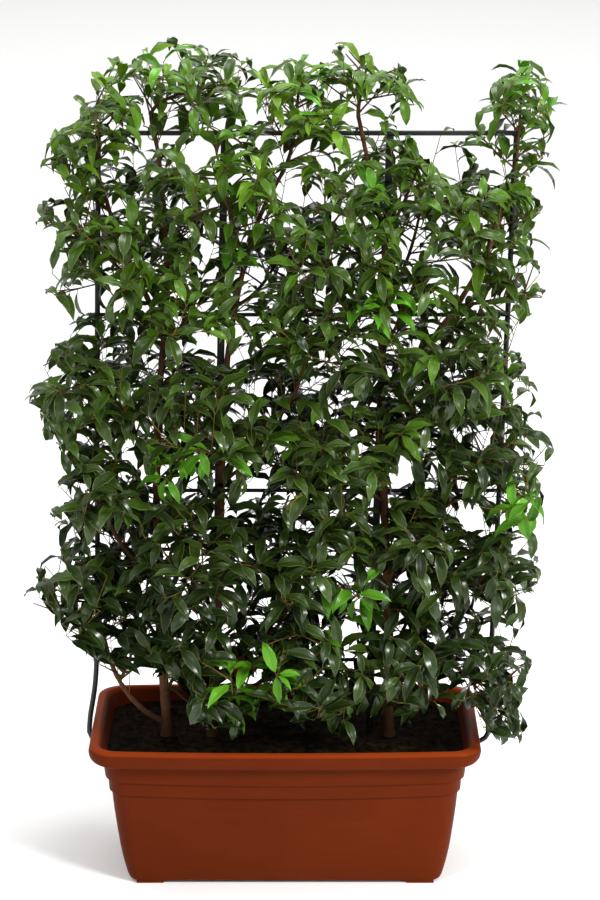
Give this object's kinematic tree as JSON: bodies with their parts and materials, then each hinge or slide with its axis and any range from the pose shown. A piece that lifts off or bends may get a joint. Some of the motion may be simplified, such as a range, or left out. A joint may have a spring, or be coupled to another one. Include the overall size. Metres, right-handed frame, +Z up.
{
  "type": "potted portuguese laurel",
  "caption": "Portuguese laurel grown as a flat hedge panel on a black steel trellis, in a long bowed plastic trough filled with soil, with leafy boughs to the sides, top, front and back.",
  "frame": {"origin": "middle of the trough's underside, at floor level, midway between its ends and between its long sides", "axes": "+Z up, +X along the trough to the right as seen from the front, +Y to the back of the plant"},
  "size_m": [1.0903, 0.5294, 1.7406],
  "materials": {
    "trough_plastic": "satin",
    "soil": "matte",
    "trellis_steel": "satin",
    "tie_plastic": "matte",
    "bark": "matte",
    "foliage": "satin"
  },
  "bodies": {
    "root": {"trough": "trough_plastic", "soil": "soil", "post_left": "trellis_steel", "post_right": "trellis_steel", "bar_left": "trellis_steel", "bar_right": "trellis_steel", "top_rail": "trellis_steel", "cross_rod_1": "trellis_steel", "cross_rod_2": "trellis_steel", "cross_rod_3": "trellis_steel", "tie_left": "tie_plastic", "tie_right": "tie_plastic", "trunk_left": "bark", "trunk_middle": "bark", "trunk_right": "bark", "bough_centre_high": "bark", "bough_centre_low": "bark", "bough_left_high": "bark", "bough_left_middle": "bark", "bough_right_back": "bark", "bough_right_high": "bark", "bough_right_low": "bark", "bough_right_middle": "bark", "bough_right_trailing": "bark", "stem_low_left": "bark", "foliage_back_centre_1": "foliage", "foliage_back_centre_2": "foliage", "foliage_back_centre_3": "foliage", "foliage_back_left_1": "foliage", "foliage_back_left_2": "foliage", "foliage_back_left_3": "foliage", "foliage_back_right_1": "foliage", "foliage_back_right_2": "foliage", "foliage_back_right_3": "foliage", "foliage_centre_1": "foliage", "foliage_centre_2": "foliage", "foliage_centre_3": "foliage", "foliage_centre_4": "foliage", "foliage_centre_5": "foliage", "foliage_inner_1": "foliage", "foliage_inner_2": "foliage", "foliage_inner_3": "foliage", "foliage_inner_4": "foliage", "foliage_inner_5": "foliage", "foliage_left_1": "foliage", "foliage_left_2": "foliage", "foliage_left_3": "foliage", "foliage_left_4": "foliage", "foliage_left_5": "foliage", "foliage_peak_centre": "foliage", "foliage_peak_left": "foliage", "foliage_peak_middle": "foliage", "foliage_peak_right": "foliage", "foliage_right_1": "foliage", "foliage_right_2": "foliage", "foliage_right_3": "foliage", "foliage_right_4": "foliage", "foliage_right_5": "foliage"}
  },
  "joints": []
}
